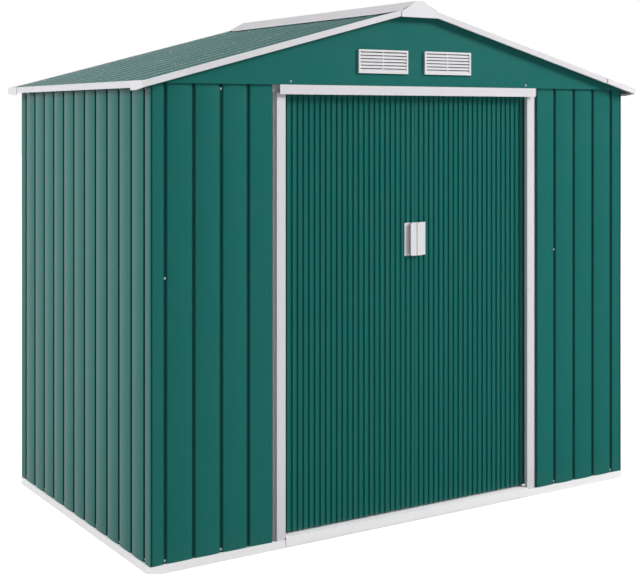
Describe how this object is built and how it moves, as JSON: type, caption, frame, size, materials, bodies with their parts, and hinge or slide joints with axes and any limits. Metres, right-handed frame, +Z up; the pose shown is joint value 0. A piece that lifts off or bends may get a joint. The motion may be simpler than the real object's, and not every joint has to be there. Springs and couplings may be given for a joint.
{
  "type": "metal storage shed",
  "caption": "Metal garden storage shed with ribbed sheet walls, a low gable roof, louvred gable vents and a pair of sliding doors.",
  "frame": {"origin": "on the ground, at the middle of the plan", "axes": "+Z up, +X along the front to the right as seen from outside, -Y out of the front where the doors are"},
  "size_m": [2.1286, 1.2616, 1.8424],
  "materials": {
    "painted_green_sheet": "satin painted sheet steel",
    "painted_white_steel": "white painted steel channel",
    "white_plastic": "white moulded plastic"
  },
  "bodies": {
    "shed": {"base_front": "painted_white_steel", "base_rear": "painted_white_steel", "base_left": "painted_white_steel", "base_right": "painted_white_steel", "door_sill": "painted_white_steel", "wall_left": "painted_green_sheet", "wall_right": "painted_green_sheet", "wall_rear": "painted_green_sheet", "wall_front_left": "painted_green_sheet", "wall_front_right": "painted_green_sheet", "jamb_left": "painted_white_steel", "jamb_right": "painted_white_steel", "door_header": "painted_white_steel", "track_front": "painted_white_steel", "top_rails": "painted_white_steel", "mid_rails": "painted_white_steel", "ridge_beam": "painted_white_steel", "gable_front": "painted_green_sheet", "gable_rear": "painted_green_sheet", "vent_left": "white_plastic", "vent_right": "white_plastic", "roof_left": "painted_green_sheet", "roof_right": "painted_green_sheet", "ridge_cap": "painted_white_steel", "ridge_end_front": "white_plastic", "ridge_end_rear": "white_plastic", "rake_front_left": "painted_white_steel", "rake_front_right": "painted_white_steel", "rake_rear_left": "painted_white_steel", "rake_rear_right": "painted_white_steel", "eave_left": "painted_white_steel", "eave_right": "painted_white_steel", "corner_cap_front_left": "white_plastic", "corner_cap_front_right": "white_plastic", "corner_cap_rear_left": "white_plastic", "corner_cap_rear_right": "white_plastic"},
    "left_door": {"door_left": "painted_green_sheet", "door_rails_left": "painted_white_steel", "door_hangers_left": "white_plastic", "handle_left": "white_plastic"},
    "right_door": {"door_right": "painted_green_sheet", "door_rails_right": "painted_white_steel", "door_hangers_right": "white_plastic", "handle_right": "white_plastic"}
  },
  "joints": [
    {"name": "left_door_slide", "type": "slide", "parent": "shed", "child": "left_door", "axis": [-1, 0, 0], "range_m": [0, 0.4]},
    {"name": "right_door_slide", "type": "slide", "parent": "shed", "child": "right_door", "axis": [1, 0, 0], "range_m": [0, 0.4]}
  ]
}
